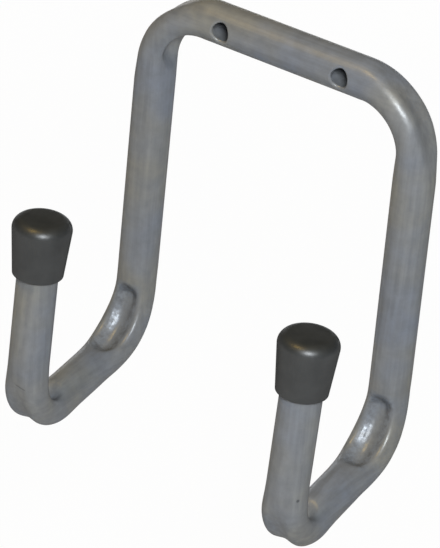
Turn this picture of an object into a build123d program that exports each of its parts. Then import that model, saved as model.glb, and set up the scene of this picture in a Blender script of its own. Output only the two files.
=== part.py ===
from build123d import *
import math
import os

# Double storage hook: one bent steel tube with two push-on end caps.
# Frame: X to the right, Y into the wall, Z up. The origin is the middle of the two
# screw holes, on the wall plane that the swollen backs of the two top corners touch.
# Lengths are in millimetres and angles in degrees.

# ---- tube ----
tube_diameter = 20.0
tube_wall = 1.4
leg_spacing = 145.6  # between the centrelines of the legs, at the top
leg_splay = 0.7  # each leg spreads this much on its way down
frame_height = 185.0  # from the centreline of the top bar down to that of the arms
arm_reach = 90.0  # along the arm, between its two centreline crossings
arm_droop = 9.8  # the arms fall towards the front
tip_length = 112.0  # from the front centreline crossing to the open end of the tube
tip_lean = 3.5  # the tips lean back towards the wall

# ---- marks that the bending press leaves in every bend ----
press_depth = 5.0  # dished mark on the inside of the bend
press_angle = 52.0  # its half width, measured round the tube
press_edge = 9.0  # length of the ramp down to its full depth
press_rounding = 0.35  # how far the ramp's two ends are rounded: 0 is straight, 1 an S curve
press_reach = 0.27  # share of the blend that it runs into on each side
arch_angle = 60.0  # half width of the arch that closes each end of the mark
arch_squareness = 2.6  # 2 is a round arch, and more is squarer
ridge_height = 0.8  # the two ridges that stand up beside it
ridge_angle = 56.0
ridge_width = 22.0
groove_angle = 46.0  # half width of the groove along the outside of the bend
blend_length = 14.0  # how far a bend's marks run on into the straight tube
bar_blend = 3.0  # the same on the top bar, short to keep its screw holes in straight tube
fade_length = 26.0  # over which the section changes from round to fully pressed

# Each kind of bend has its centreline radius, the growth of its half width across the
# bend, the loss of its half depth on the inside and the outside, the depth of its outside
# groove, and the distances from its middle between which the swelling comes and goes.
corner = {"radius": 30.0, "swell": 0.5, "inside": 1.1, "outside": 1.9, "groove": 2.6}
corner |= {"comes": (-27.0, -11.0), "goes": (12.0, 38.0)}
back = {"radius": 34.0, "swell": 1.7, "inside": 1.1, "outside": 1.5, "groove": 1.5}
back |= {"comes": (-28.0, 3.0), "goes": (6.0, 32.0)}
front = {"radius": 20.2, "swell": 1.2, "inside": 1.1, "outside": 1.2, "groove": 2.8}
front |= {"comes": (-31.0, -9.0), "goes": (9.0, 31.0)}

# ---- screw holes through the front and back walls of the top bar ----
hole_spacing = 66.0
hole_diameter = 9.0
hole_rounding = 1.0  # the punch draws the front rim of each hole in

# ---- end caps ----
cap_length = 29.5
cap_top_diameter = 29.8
cap_rim_diameter = 24.6
cap_shoulder_radius = 5.6
cap_crown = 0.7  # rise of the slightly domed top
cap_top_wall = 3.0  # cap above the end of the tube
cap_clearance = 0.05  # between the tube and the bore of the cap, all round
cap_mouth_chamfer = 0.5

# ---- how finely a bend is drawn ----
section_points = 36
section_pitch = 1.8

tube_radius = tube_diameter / 2
standoff = tube_radius + corner["swell"]


def ease(x):
    x = max(0.0, min(1.0, x))
    return x * x * (3 - 2 * x)


def ramp(x):
    """Straight from 0 to 1, with its two ends rounded a little."""
    return press_rounding * ease(x) + (1 - press_rounding) * max(0.0, min(1.0, x))


def passed(place, between):
    """How much of the way from the first of two places to the second is behind, smoothly."""
    return ease((place - between[0]) / (between[1] - between[0]))


def hollow(angle, half_width):
    """A smooth hollow, 1 deep in its middle and 0 at half_width degrees."""
    share = min(1.0, math.degrees(angle) / half_width)
    return 0.5 * (1 + math.cos(math.pi * share))


def circle(radius):
    """A round section, as (inward, sideways) pairs."""
    angles = [2 * math.pi * k / section_points for k in range(section_points)]
    return [(radius * math.cos(a), radius * math.sin(a)) for a in angles]


def pressed(kind, distance, arc, lead_in, lead_out):
    """The section of a bend at a distance along it, as (inward, sideways) pairs."""
    past = distance - arc / 2
    away = abs(past)
    blend = lead_in if distance < arc / 2 else lead_out
    fade = ease((arc / 2 + blend - away) / fade_length)
    swell = kind["swell"] * passed(past, kind["comes"]) * (1 - passed(past, kind["goes"]))
    points = []
    for inward, sideways in circle(1.0):
        from_inside = math.acos(max(-1.0, min(1.0, inward)))
        from_outside = math.pi - from_inside
        # the dished mark ends in a rounded arch, farthest out on the inside line
        across = min(1.0, math.degrees(from_inside) / arch_angle)
        arch = (1 - across**arch_squareness) ** (1 / arch_squareness)
        mark_end = (arc / 2 + press_reach * blend) * arch
        mark = press_depth * ramp((mark_end - away) / press_edge) * hollow(from_inside, press_angle)
        from_ridge = (math.degrees(from_inside) - ridge_angle) / ridge_width
        ridge = ridge_height * fade * math.exp(-from_ridge * from_ridge)
        groove = kind["groove"] * fade * hollow(from_outside, groove_angle)
        loss = kind["inside"] if inward > 0 else kind["outside"]
        depth = (tube_radius - loss * fade) * inward - mark + ridge + groove
        points.append((depth, (tube_radius + swell) * sideways))
    return points


def shrunk(points, by):
    """The same section moved inwards along its own normals."""
    moved = []
    for k, (depth, sideways) in enumerate(points):
        before = points[k - 1]
        after = points[(k + 1) % len(points)]
        rise = after[0] - before[0]
        run = after[1] - before[1]
        size = math.hypot(rise, run)
        moved.append((depth - run / size * by, sideways + rise / size * by))
    return moved


def bend(kind, start, ahead, inward, turn, lead_in, lead_out, inset):
    """A loft through pressed sections. The arc begins at start, heading ahead."""
    radius = kind["radius"]
    arc = radius * turn
    side = ahead.cross(inward)
    length = lead_in + arc + lead_out
    count = max(12, int(length / section_pitch))
    knots = [k / section_points for k in range(section_points + 1)]
    rings = []
    for k in range(count + 1):
        distance = length * k / count - lead_in
        angle = min(max(distance, 0.0), arc) / radius
        straight = min(distance, 0.0) + max(distance - arc, 0.0)
        heading = ahead * math.cos(angle) + inward * math.sin(angle)
        centreward = inward * math.cos(angle) - ahead * math.sin(angle)
        centre = start + inward * radius - centreward * radius + heading * straight
        if k in (0, count):
            section = circle(tube_radius - inset)
        else:
            section = shrunk(pressed(kind, distance, arc, lead_in, lead_out), inset)
        ring = [centre + centreward * depth + side * across for depth, across in section]
        rings.append(Wire([Edge.make_spline(ring, periodic=True, parameters=knots)]))
    return Solid.make_loft(rings)


def rod(start, end, radius):
    """A round bar between two points."""
    axis = end - start
    spare = Vector(0, 1, 0) if abs(axis.X) > abs(axis.Y) else Vector(1, 0, 0)
    plane = Plane(origin=start, x_dir=spare.cross(axis), z_dir=axis)
    return Solid.make_cylinder(radius, axis.length, plane)


# ---- centreline of the left half: bar, corner, leg, back bend, arm, front bend, tip ----
splay = math.radians(leg_splay)
droop = math.radians(arm_droop)
lean = math.radians(tip_lean)
bar_middle = Vector(0, -standoff, 0)
top_crossing = Vector(-leg_spacing / 2, -standoff, 0)
back_crossing = top_crossing + Vector(-math.tan(splay), 0, -1) * frame_height
front_crossing = back_crossing + Vector(0, -math.cos(droop), -math.sin(droop)) * arm_reach
tip_direction = Vector(0, math.sin(lean), math.cos(lean))
tip_end = front_crossing + tip_direction * tip_length

crossings = [bar_middle, top_crossing, back_crossing, front_crossing, tip_end]
kinds = [corner, back, front]
stretches = [b - a for a, b in zip(crossings, crossings[1:])]
headings = [stretch.normalized() for stretch in stretches]
turns = [math.acos(a.dot(b)) for a, b in zip(headings, headings[1:])]
# each bend takes this much off the stretches on both sides of its crossing
trims = [0.0] + [kind["radius"] * math.tan(turn / 2) for kind, turn in zip(kinds, turns)] + [0.0]
straights = [stretches[i].length - trims[i] - trims[i + 1] for i in range(4)]
leads = [bar_blend] + [min(blend_length, 0.45 * straight) for straight in straights[1:]]


def left_side(inset):
    """The left half of the tube without the bar, from the top corner to the tip."""
    pieces = []
    for i, kind in enumerate(kinds):
        start = crossings[i + 1] - headings[i] * trims[i + 1]
        inward = headings[i + 1] - headings[i] * headings[i].dot(headings[i + 1])
        leads_here = (leads[i], leads[i + 1])
        pieces.append(bend(kind, start, headings[i], inward.normalized(), turns[i], *leads_here, inset))
        leg_start = crossings[i + 1] + headings[i + 1] * (trims[i + 1] + leads[i + 1])
        leg_end = crossings[i + 2] - headings[i + 1] * trims[i + 2]
        if i < 2:
            leg_end = leg_end - headings[i + 1] * leads[i + 1]
        else:
            # the bore runs out through the open end
            leg_end = leg_end + headings[i + 1] * inset
        pieces.append(rod(leg_start, leg_end, tube_radius - inset))
    return pieces


def drilled(bar):
    """The bar with both screw holes, their front rims rounded in."""
    for x in (-hole_spacing / 2, hole_spacing / 2):
        start = Vector(x, -standoff - tube_diameter, 0)
        bar = bar - rod(start, Vector(x, tube_diameter, 0), hole_diameter / 2)
    rims = [edge for edge in bar.edges() if is_front_rim(edge)]
    return fillet(rims, hole_rounding).solid()


def is_front_rim(edge):
    """Whether an edge of the drilled bar is part of the front rim of a hole."""
    point = edge @ 0.4
    on_skin = abs(math.hypot(point.Y + standoff, point.Z) - tube_radius) < 0.01
    on_hole = abs(math.hypot(abs(point.X) - hole_spacing / 2, point.Z) - hole_diameter / 2) < 0.01
    return on_skin and on_hole and point.Y < -standoff


def whole_tube(bar, inset):
    """The bar joined to both sides of the tube."""
    left = left_side(inset)
    right = [piece.mirror(Plane.YZ) for piece in left]
    return bar.fuse(*left, *right, tol=1e-4)


def bent_tube():
    bar_end = top_crossing - headings[0] * (trims[1] + leads[0])
    other_end = Vector(-bar_end.X, bar_end.Y, bar_end.Z)
    outer = whole_tube(drilled(rod(bar_end, other_end, tube_radius)), 0.0)
    bore = whole_tube(rod(bar_end, other_end, tube_radius - tube_wall), tube_wall)
    return (outer - bore).solid()


def end_cap():
    """A cap standing on its rim at z = 0, and the height of its seat above the rim."""
    rim = cap_rim_diameter / 2
    top = cap_top_diameter / 2
    bore_radius = tube_radius + cap_clearance
    seat = cap_length - cap_crown - cap_top_wall
    shoulder = cap_length - cap_crown
    mouth = bore_radius + cap_mouth_chamfer
    crown_radius = (top**2 + cap_crown**2) / (2 * cap_crown)
    half_way = math.asin(top / crown_radius) / 2
    crown_drop = crown_radius * (1 - math.cos(half_way))
    crown_point = (crown_radius * math.sin(half_way), 0, cap_length - crown_drop)
    outline = [
        Edge.make_line((mouth, 0, 0), (rim, 0, 0)),
        Edge.make_line((rim, 0, 0), (top, 0, shoulder)),
        Edge.make_three_point_arc((top, 0, shoulder), crown_point, (0, 0, cap_length)),
        Edge.make_line((0, 0, cap_length), (0, 0, seat)),
        Edge.make_line((0, 0, seat), (bore_radius, 0, seat)),
        Edge.make_line((bore_radius, 0, seat), (bore_radius, 0, cap_mouth_chamfer)),
        Edge.make_line((bore_radius, 0, cap_mouth_chamfer), (mouth, 0, 0)),
    ]
    profile = Face(Wire(outline))
    top_edge = [v for v in profile.vertices() if abs(v.X - top) < 1e-6]
    profile = profile.fillet_2d(cap_shoulder_radius, top_edge)
    return Solid.revolve(profile, 360, Axis.Z), seat


def save(solid, name, colour):
    solid.label = name
    solid.color = Color(*colour)
    export_step(solid, f"parts/{name}.step")


os.makedirs("parts", exist_ok=True)
save(bent_tube(), "bent_tube", (0.49, 0.50, 0.51))
cap, seat_height = end_cap()
for name, x in (("end_cap_left", tip_end.X), ("end_cap_right", -tip_end.X)):
    foot = Vector(x, tip_end.Y, tip_end.Z) - tip_direction * seat_height
    place = Plane(origin=foot, x_dir=(1, 0, 0), z_dir=tip_direction)
    save(cap.moved(place.location), name, (0.10, 0.10, 0.10))
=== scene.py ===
import math

import bpy
from mathutils import Matrix, Vector


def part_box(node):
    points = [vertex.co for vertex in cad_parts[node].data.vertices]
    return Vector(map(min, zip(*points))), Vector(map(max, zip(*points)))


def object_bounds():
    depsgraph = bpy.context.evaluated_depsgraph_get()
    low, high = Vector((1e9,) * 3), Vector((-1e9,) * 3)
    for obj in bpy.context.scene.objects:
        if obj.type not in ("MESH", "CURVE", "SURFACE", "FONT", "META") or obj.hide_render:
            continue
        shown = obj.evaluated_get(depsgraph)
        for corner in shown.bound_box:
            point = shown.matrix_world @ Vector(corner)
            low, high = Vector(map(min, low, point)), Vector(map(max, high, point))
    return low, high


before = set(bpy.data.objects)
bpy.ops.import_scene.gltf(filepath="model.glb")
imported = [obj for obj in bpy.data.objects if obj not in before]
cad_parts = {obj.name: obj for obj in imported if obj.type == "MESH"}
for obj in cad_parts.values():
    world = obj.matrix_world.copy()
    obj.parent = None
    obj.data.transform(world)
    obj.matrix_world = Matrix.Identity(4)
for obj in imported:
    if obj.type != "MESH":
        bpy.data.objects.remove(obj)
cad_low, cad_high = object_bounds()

# Double storage hook: a grey enamelled tube with two black vinyl end caps.
# Everything is in metres, in the frame of the CAD model: the wall is the plane y = 0,
# the front of the hook faces -Y, and Z is up. Colours are linear.

middle = (cad_low + cad_high) / 2


def toward(azimuth, elevation):
    """The direction from the object to a place round it: azimuth 0 is in front, 90 is at +X."""
    across = math.cos(math.radians(elevation))
    return Vector((
        across * math.sin(math.radians(azimuth)),
        -across * math.cos(math.radians(azimuth)),
        math.sin(math.radians(elevation)),
    ))


# ---- camera ----
CAMERA_PLACE = Vector((0.64024, -1.07447, 0.61860))
CAMERA_TARGET = Vector((0.00099, -0.05397, -0.10151))
CAMERA_ROLL = 5.43  # degrees
CAMERA_LENS = 197.0  # millimetres, on the default 36 mm sensor

camera_data = bpy.data.cameras.new("camera")
camera_data.lens = CAMERA_LENS
camera = bpy.data.objects.new("camera", camera_data)
bpy.context.collection.objects.link(camera)
camera.location = CAMERA_PLACE
looking = (CAMERA_TARGET - CAMERA_PLACE).to_track_quat("-Z", "Y").to_matrix().to_4x4()
roll = Matrix.Rotation(math.radians(CAMERA_ROLL), 4, "Z")
camera.matrix_world = Matrix.Translation(CAMERA_PLACE) @ looking @ roll
bpy.context.scene.camera = camera


# ---- helpers for materials ----
# the Mix node's sockets for A, B and the result, which have the same names for all kinds
MIX_NUMBERS = (2, 3, 0)
MIX_COLOURS = (6, 7, 2)


class Nodes:
    """Adds and links the nodes of one material or world."""

    def __init__(self, owner):
        owner.use_nodes = True
        self.tree = owner.node_tree
        self.tree.nodes.clear()

    def add(self, kind, inputs=None, **settings):
        """A new node. Each of its inputs is linked to another node, or gets a plain value."""
        node = self.tree.nodes.new(kind)
        for name, value in settings.items():
            setattr(node, name, value)
        for name, value in (inputs or {}).items():
            if isinstance(value, bpy.types.NodeSocket):
                self.tree.links.new(value, node.inputs[name])
            else:
                node.inputs[name].default_value = value
        return node

    def place(self):
        """Where a point is, in its object's own frame: for the hook, that of the CAD model."""
        return self.add("ShaderNodeTexCoord").outputs["Object"]

    def split(self, vector):
        return self.add("ShaderNodeSeparateXYZ", {0: vector}).outputs

    def noise(self, vector, scale, detail=2.0, roughness=0.5):
        inputs = {"Vector": vector, "Scale": scale, "Detail": detail, "Roughness": roughness}
        return self.add("ShaderNodeTexNoise", inputs).outputs["Fac"]

    def math(self, operation, a, b=0.0, c=0.0):
        return self.add("ShaderNodeMath", {0: a, 1: b, 2: c}, operation=operation).outputs[0]

    def product(self, first, *others):
        for other in others:
            first = self.math("MULTIPLY", first, other)
        return first

    def remap(self, value, low, high, to_low, to_high):
        inputs = {
            "Value": value, "From Min": low, "From Max": high,
            "To Min": to_low, "To Max": to_high,
        }
        return self.add("ShaderNodeMapRange", inputs).outputs["Result"]

    def rising(self, value, start, end):
        """0 at start, 1 at end, and level beyond them."""
        return self.remap(value, start, end, 0.0, 1.0)

    def falling(self, value, start, end):
        """1 at start, 0 at end, and level beyond them."""
        return self.remap(value, start, end, 1.0, 0.0)

    def mixed(self, kind, sockets, share, a, b):
        in_a, in_b, result = sockets
        inputs = {0: share, in_a: a, in_b: b}
        return self.add("ShaderNodeMix", inputs, data_type=kind).outputs[result]

    def mix(self, share, a, b):
        return self.mixed("FLOAT", MIX_NUMBERS, share, a, b)

    def mix_colour(self, share, a, b):
        """Between two colours, each another node's output or a (red, green, blue) tuple."""
        a, b = [(*value, 1.0) if isinstance(value, tuple) else value for value in (a, b)]
        return self.mixed("RGBA", MIX_COLOURS, share, a, b)

    def bump(self, height, distance, strength, under=None):
        inputs = {"Height": height, "Distance": distance, "Strength": strength}
        if under is not None:
            inputs["Normal"] = under
        return self.add("ShaderNodeBump", inputs).outputs["Normal"]

    def finish_surface(self, shader):
        self.add("ShaderNodeOutputMaterial", {"Surface": shader.outputs[0]})


# ---- grey enamel ----
OLIVE_GREY = (0.210, 0.206, 0.190)
BLUE_GREY = (0.178, 0.193, 0.226)
DARK_GREY = (0.118, 0.122, 0.130)
STREAKINESS = 0.55  # how far the dark streaks go towards DARK_GREY
STREAK_SHARE = 0.55  # of the dark tone: the rest follows the mottle
STREAKS_ACROSS = 420.0  # how closely the streaks lie, across and along the tube
STREAKS_ALONG = 22.0
SATIN = (0.38, 0.46)  # roughness, in the darkest and the palest mottle

# the part of each pattern's values that is stretched out to 0 to 1
STREAK_RANGE = (0.3, 0.7)
MOTTLE_RANGE = (0.32, 0.68)
CLOUD_RANGE = (0.35, 0.65)
SCUFF_RANGE = (0.42, 0.62)
SHADE_RANGE = (0.2, 0.8)

# the middles of the caps: the tips, the arms and the back bends have the same X as these
left_tip, right_tip = [sum(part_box(cap), Vector()) / 2 for cap in ("end_cap_left", "end_cap_right")]

BAR_ENDS_AT = cad_high.z - 0.024  # below this the bar's corners have turned into the legs
ARMS_START_AT = cad_low.z + 0.034  # below this the legs have turned into the arms
TURN = 0.012  # over which the drawn lines change direction

# the dished marks that the press burnished into the two back bends; their bluish tone is a painted
# reflection
BEND_CENTRE_Y = cad_high.y - 0.0445
BEND_CENTRE_Z = cad_low.z + 0.0475
MARK_TOP = BEND_CENTRE_Z + 0.0055
MARK_FRONT = BEND_CENTRE_Y - 0.0005
MARK_HALF_WIDTH = 0.0070
MARK_REACH = 0.0300  # from the centre of the bend to the bottom of the mark
MARK_SIDE_BLUR = 0.0015
MARK_BOTTOM_BLUR = 0.001
MARK_STARTS = 0.001  # how far inside its two ends the mark starts to show, and is whole
MARK_WHOLE = 0.005
# a painted reflection of bluish light in the marks, not a colour of the enamel, and how far the marks
# go towards it
MARK_REFLECTION_BLUE = (0.186, 0.207, 0.244)
MARK_REFLECTION_SHARE = 0.6  # how far the mark goes towards MARK_REFLECTION_BLUE
SCUFFED_GREY = (0.105, 0.108, 0.116)
SCUFFING = 0.75  # how far its scuffs go towards SCUFFED_GREY
MARK_SATIN = (0.32, 0.52)  # roughness, in its clean and its scuffed places
MARK_POLISH = 0.8  # how far the mark's roughness goes towards MARK_SATIN

# a small pit on the right tip
PIT = Vector((right_tip.x + 0.0090, cad_low.y + 0.0052, cad_low.z + 0.0370))
PIT_RADIUS = 0.0011
PIT_CORE = 0.4  # share of its radius with the full depth
PIT_GREY = (0.04, 0.04, 0.045)
PIT_DARKNESS = 0.7

# a short scratch on the front of the left tip
SCRATCH_START = Vector((left_tip.x - 0.0010, cad_low.y, cad_low.z + 0.0321))
SCRATCH_END = Vector((left_tip.x + 0.0053, cad_low.y, cad_low.z + 0.0307))
SCRATCH_HALF_WIDTH = 0.00035
SCRATCH_CORE = 0.3  # share of its half width with the full depth
SCRATCH_TAPER = 0.001  # over which each of its ends fades
SCRATCH_FRONT = 0.008  # it shows only on this much of the tip, from its front
SCRATCH_GREY = (0.07, 0.07, 0.075)
SCRATCH_DARKNESS = 0.6


def streaks(nodes, place, axis):
    """Noise that is drawn out along one axis: 0 for X, 1 for Y, 2 for Z."""
    stretch = [STREAKS_ACROSS] * 3
    stretch[axis] = STREAKS_ALONG
    inputs = {0: place, 1: stretch}
    squeezed = nodes.add("ShaderNodeVectorMath", inputs, operation="MULTIPLY").outputs[0]
    return nodes.noise(squeezed, scale=1.0, detail=3.0, roughness=0.6)


def drawn_lines(nodes, place):
    """Faint streaks that run along the tube: along X on the bar, Y on the arms, Z elsewhere."""
    height = nodes.split(place)["Z"]
    on_bar = nodes.rising(height, BAR_ENDS_AT, BAR_ENDS_AT + TURN)
    on_arm = nodes.rising(height, ARMS_START_AT, ARMS_START_AT - TURN)
    bar, arms, legs = [streaks(nodes, place, axis) for axis in (0, 1, 2)]
    return nodes.mix(on_arm, nodes.mix(on_bar, legs, bar), arms)


def press_mark(nodes, place):
    """1 in the dished marks of the two back bends, 0 elsewhere."""
    x, y, z = nodes.split(place)
    off_middle = nodes.math("ABSOLUTE", nodes.math("SUBTRACT", nodes.math("ABSOLUTE", x), right_tip.x))
    inner_edge = MARK_HALF_WIDTH - MARK_SIDE_BLUR
    across = nodes.falling(off_middle, inner_edge, MARK_HALF_WIDTH + MARK_SIDE_BLUR)
    rise = nodes.math("SUBTRACT", z, BEND_CENTRE_Z)
    run = nodes.math("SUBTRACT", y, BEND_CENTRE_Y)
    square = nodes.math("ADD", nodes.product(rise, rise), nodes.product(run, run))
    away = nodes.math("SQRT", square)
    inside = nodes.falling(away, MARK_REACH - MARK_BOTTOM_BLUR, MARK_REACH + MARK_BOTTOM_BLUR)
    below = nodes.falling(z, MARK_TOP - MARK_WHOLE, MARK_TOP - MARK_STARTS)
    behind = nodes.rising(y, MARK_FRONT + MARK_STARTS, MARK_FRONT + MARK_WHOLE)
    return nodes.product(nodes.product(across, inside), nodes.product(below, behind))


def pitted(nodes, place):
    """1 in the pit on the right tip, 0 beyond its radius."""
    away = nodes.add("ShaderNodeVectorMath", {0: place, 1: PIT}, operation="DISTANCE")
    return nodes.falling(away.outputs["Value"], PIT_RADIUS * PIT_CORE, PIT_RADIUS)


def scratched(nodes, place):
    """1 along the scratch on the front of the left tip, 0 beside it."""
    x, y, z = nodes.split(place)
    slope = (SCRATCH_END.z - SCRATCH_START.z) / (SCRATCH_END.x - SCRATCH_START.x)
    line = nodes.math("MULTIPLY_ADD", x, slope, SCRATCH_START.z - slope * SCRATCH_START.x)
    off_line = nodes.math("ABSOLUTE", nodes.math("SUBTRACT", z, line))
    thin = nodes.falling(off_line, SCRATCH_HALF_WIDTH * SCRATCH_CORE, SCRATCH_HALF_WIDTH)
    after = nodes.rising(x, SCRATCH_START.x, SCRATCH_START.x + SCRATCH_TAPER)
    before = nodes.falling(x, SCRATCH_END.x - SCRATCH_TAPER, SCRATCH_END.x)
    in_front = nodes.math("LESS_THAN", y, cad_low.y + SCRATCH_FRONT)
    return nodes.product(nodes.product(thin, in_front), nodes.product(after, before))


def grey_enamel():
    material = bpy.data.materials.new("grey_enamel")
    nodes = Nodes(material)
    place = nodes.place()
    streak = nodes.rising(drawn_lines(nodes, place), *STREAK_RANGE)
    mottle = nodes.noise(place, scale=150.0, detail=4.0, roughness=0.65)
    mottle = nodes.rising(mottle, *MOTTLE_RANGE)
    cloud = nodes.rising(nodes.noise(place, scale=30.0), *CLOUD_RANGE)
    tone = nodes.mix_colour(cloud, OLIVE_GREY, BLUE_GREY)
    drawn = nodes.product(streak, STREAK_SHARE)
    shade = nodes.math("ADD", drawn, nodes.product(mottle, 1.0 - STREAK_SHARE))
    darkness = nodes.remap(shade, *SHADE_RANGE, STREAKINESS, 0.0)
    tone = nodes.mix_colour(darkness, tone, DARK_GREY)
    # the marks are burnished, with a painted bluish reflection in their colour, and scuffed in spots
    mark = press_mark(nodes, place)
    scuff = nodes.noise(place, scale=300.0, detail=5.0, roughness=0.7)
    scuff = nodes.rising(scuff, *SCUFF_RANGE)
    tone = nodes.mix_colour(nodes.product(mark, MARK_REFLECTION_SHARE), tone, MARK_REFLECTION_BLUE)
    tone = nodes.mix_colour(nodes.product(mark, scuff, SCUFFING), tone, SCUFFED_GREY)
    pit = pitted(nodes, place)
    tone = nodes.mix_colour(nodes.product(pit, PIT_DARKNESS), tone, PIT_GREY)
    scratch = scratched(nodes, place)
    tone = nodes.mix_colour(nodes.product(scratch, SCRATCH_DARKNESS), tone, SCRATCH_GREY)
    satin = nodes.remap(mottle, 0.0, 1.0, *SATIN)
    mark_satin = nodes.remap(scuff, 0.0, 1.0, *MARK_SATIN)
    gloss = nodes.mix(nodes.product(mark, MARK_POLISH), satin, mark_satin)
    # bump: waves, crumples in the marks, streaks, a fine orange peel, and the pit and scratch
    waves = nodes.noise(place, scale=85.0, detail=1.0)
    relief = nodes.bump(waves, distance=0.0012, strength=0.12)
    crumples = nodes.product(mark, nodes.noise(place, scale=120.0))
    relief = nodes.bump(crumples, distance=0.0020, strength=0.40, under=relief)
    relief = nodes.bump(streak, distance=0.0002, strength=0.10, under=relief)
    peel = nodes.noise(place, scale=900.0)
    relief = nodes.bump(peel, distance=0.00012, strength=0.22, under=relief)
    damage = nodes.math("MAXIMUM", pit, scratch)
    relief = nodes.bump(damage, distance=-0.0003, strength=0.8, under=relief)
    # the floor is white in mirror rays, and a usual coat would mirror it and pale the rims of
    # the tube: this weak coat of high IOR keeps them dark and still shows the lamps
    shader = nodes.add("ShaderNodeBsdfPrincipled", {
        "Base Color": tone,
        "Metallic": 0.20,
        "Roughness": gloss,
        "Specular IOR Level": 0.0,
        "Coat Weight": 0.035,
        "Coat Roughness": 0.29,
        "Coat IOR": 4.0,
        "Normal": relief,
        "Coat Normal": relief,
    })
    nodes.finish_surface(shader)
    return material


# ---- black vinyl ----
VINYL_BLACK = (0.017, 0.018, 0.018)
VINYL_GREY = (0.026, 0.027, 0.027)
VINYL_SATIN = (0.34, 0.44)  # roughness, which varies from place to place
VINYL_RANGE = (0.3, 0.7)  # as above, for both of its patterns


def black_vinyl():
    material = bpy.data.materials.new("black_vinyl")
    nodes = Nodes(material)
    place = nodes.place()
    cloud = nodes.noise(place, scale=120.0, detail=3.0)
    tone = nodes.mix_colour(nodes.rising(cloud, *VINYL_RANGE), VINYL_BLACK, VINYL_GREY)
    gloss = nodes.remap(nodes.noise(place, scale=60.0), *VINYL_RANGE, *VINYL_SATIN)
    grain = nodes.noise(place, scale=700.0, detail=3.0)
    relief = nodes.bump(grain, distance=0.0002, strength=0.2)
    # a weak coat again, broader and stronger than the enamel's
    shader = nodes.add("ShaderNodeBsdfPrincipled", {
        "Base Color": tone,
        "Roughness": gloss,
        "Specular IOR Level": 0.0,
        "Coat Weight": 0.13,
        "Coat Roughness": 0.42,
        "Coat IOR": 4.0,
        "Normal": relief,
        "Coat Normal": relief,
    })
    nodes.finish_surface(shader)
    return material


def dress(node, material):
    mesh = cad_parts[node].data
    mesh.materials.clear()
    mesh.materials.append(material)


enamel = grey_enamel()
vinyl = black_vinyl()
dress("bent_tube", enamel)
dress("end_cap_left", vinyl)
dress("end_cap_right", vinyl)


# ---- world: a dim room, with a bluish band above the horizon and a warm ceiling ----
ROOM_COLOURS = (  # at heights from 0, straight down, to 1, straight up
    (0.00, (0.10, 0.105, 0.115)),
    (0.45, (0.12, 0.13, 0.15)),
    (0.60, (0.15, 0.18, 0.24)),
    (0.72, (0.12, 0.115, 0.09)),
    (1.00, (0.16, 0.145, 0.095)),
)


def dim_room():
    world = bpy.data.worlds.new("room")
    nodes = Nodes(world)
    direction = nodes.add("ShaderNodeTexCoord").outputs["Generated"]
    height = nodes.rising(nodes.split(direction)["Z"], -1.0, 1.0)
    ramp = nodes.add("ShaderNodeValToRGB", {0: height})
    stops = ramp.color_ramp.elements
    for position, colour in ROOM_COLOURS[1:-1]:
        stops.new(position)
    for stop, (position, colour) in zip(stops, ROOM_COLOURS):
        stop.position = position
        stop.color = (*colour, 1.0)
    room = nodes.add("ShaderNodeBackground", {"Color": ramp.outputs[0], "Strength": 1.0})
    nodes.add("ShaderNodeOutputWorld", {"Surface": room.outputs[0]})
    return world


bpy.context.scene.world = dim_room()

# ---- floor ----
FLOOR_DROP = 0.35  # the hook hangs on a wall, this far above the floor
FLOOR_SIZE = 40.0
FLOOR_GREY = (0.80, 0.80, 0.80)
FLOOR_PALE = (0.84, 0.84, 0.84)
FLOOR_WHITE = 0.97  # share of plain white in what the camera or a mirror sees of the floor


def pale_floor():
    material = bpy.data.materials.new("pale_floor")
    nodes = Nodes(material)
    tone = nodes.mix_colour(nodes.noise(nodes.place(), scale=3.0), FLOOR_GREY, FLOOR_PALE)
    pale = nodes.add("ShaderNodeBsdfDiffuse", {"Color": tone}).outputs[0]
    white = nodes.add("ShaderNodeEmission", {"Color": (1, 1, 1, 1), "Strength": 1.0}).outputs[0]
    path = nodes.add("ShaderNodeLightPath").outputs
    mirrored = nodes.math("MAXIMUM", path["Is Glossy Ray"], path["Is Transmission Ray"])
    seen = nodes.math("MAXIMUM", path["Is Camera Ray"], mirrored)
    share = nodes.product(seen, FLOOR_WHITE)
    nodes.finish_surface(nodes.add("ShaderNodeMixShader", {0: share, 1: pale, 2: white}))
    return material


half = FLOOR_SIZE / 2
corners = [(-half, -half, 0), (half, -half, 0), (half, half, 0), (-half, half, 0)]
floor_mesh = bpy.data.meshes.new("floor")
floor_mesh.from_pydata(corners, [], [(0, 1, 2, 3)])
floor_mesh.materials.append(pale_floor())
floor = bpy.data.objects.new("floor", floor_mesh)
floor.location = (middle.x, middle.y, cad_low.z - FLOOR_DROP)
bpy.context.collection.objects.link(floor)


# ---- lamps ----
def lamp(name, direction, distance, size, power, colour):
    """A soft lamp that faces the middle of the object."""
    data = bpy.data.lights.new(name, "AREA")
    data.shape = "RECTANGLE"
    data.size, data.size_y = size
    data.energy = power
    data.color = colour
    item = bpy.data.objects.new(name, data)
    bpy.context.collection.objects.link(item)
    place = middle + direction * distance
    item.location = place
    item.rotation_euler = (middle - place).to_track_quat("-Z", "Y").to_euler()


# the main light, cool, from the right
lamp("front_lamp", toward(38, 36), 1.2, size=(0.22, 0.18), power=17.5, colour=(0.90, 0.955, 1.0))
# a warm glow from high on the left
lamp("ceiling_lamp", toward(-30, 64), 1.6, size=(0.28, 0.22), power=7.5, colour=(1.0, 0.66, 0.17))
# low behind the hook, for views of its back
lamp("back_lamp", toward(207, -3), 2.0, size=(2.6, 0.6), power=20.0, colour=(0.95, 0.97, 1.0))

bpy.context.scene.view_settings.view_transform = "Standard"
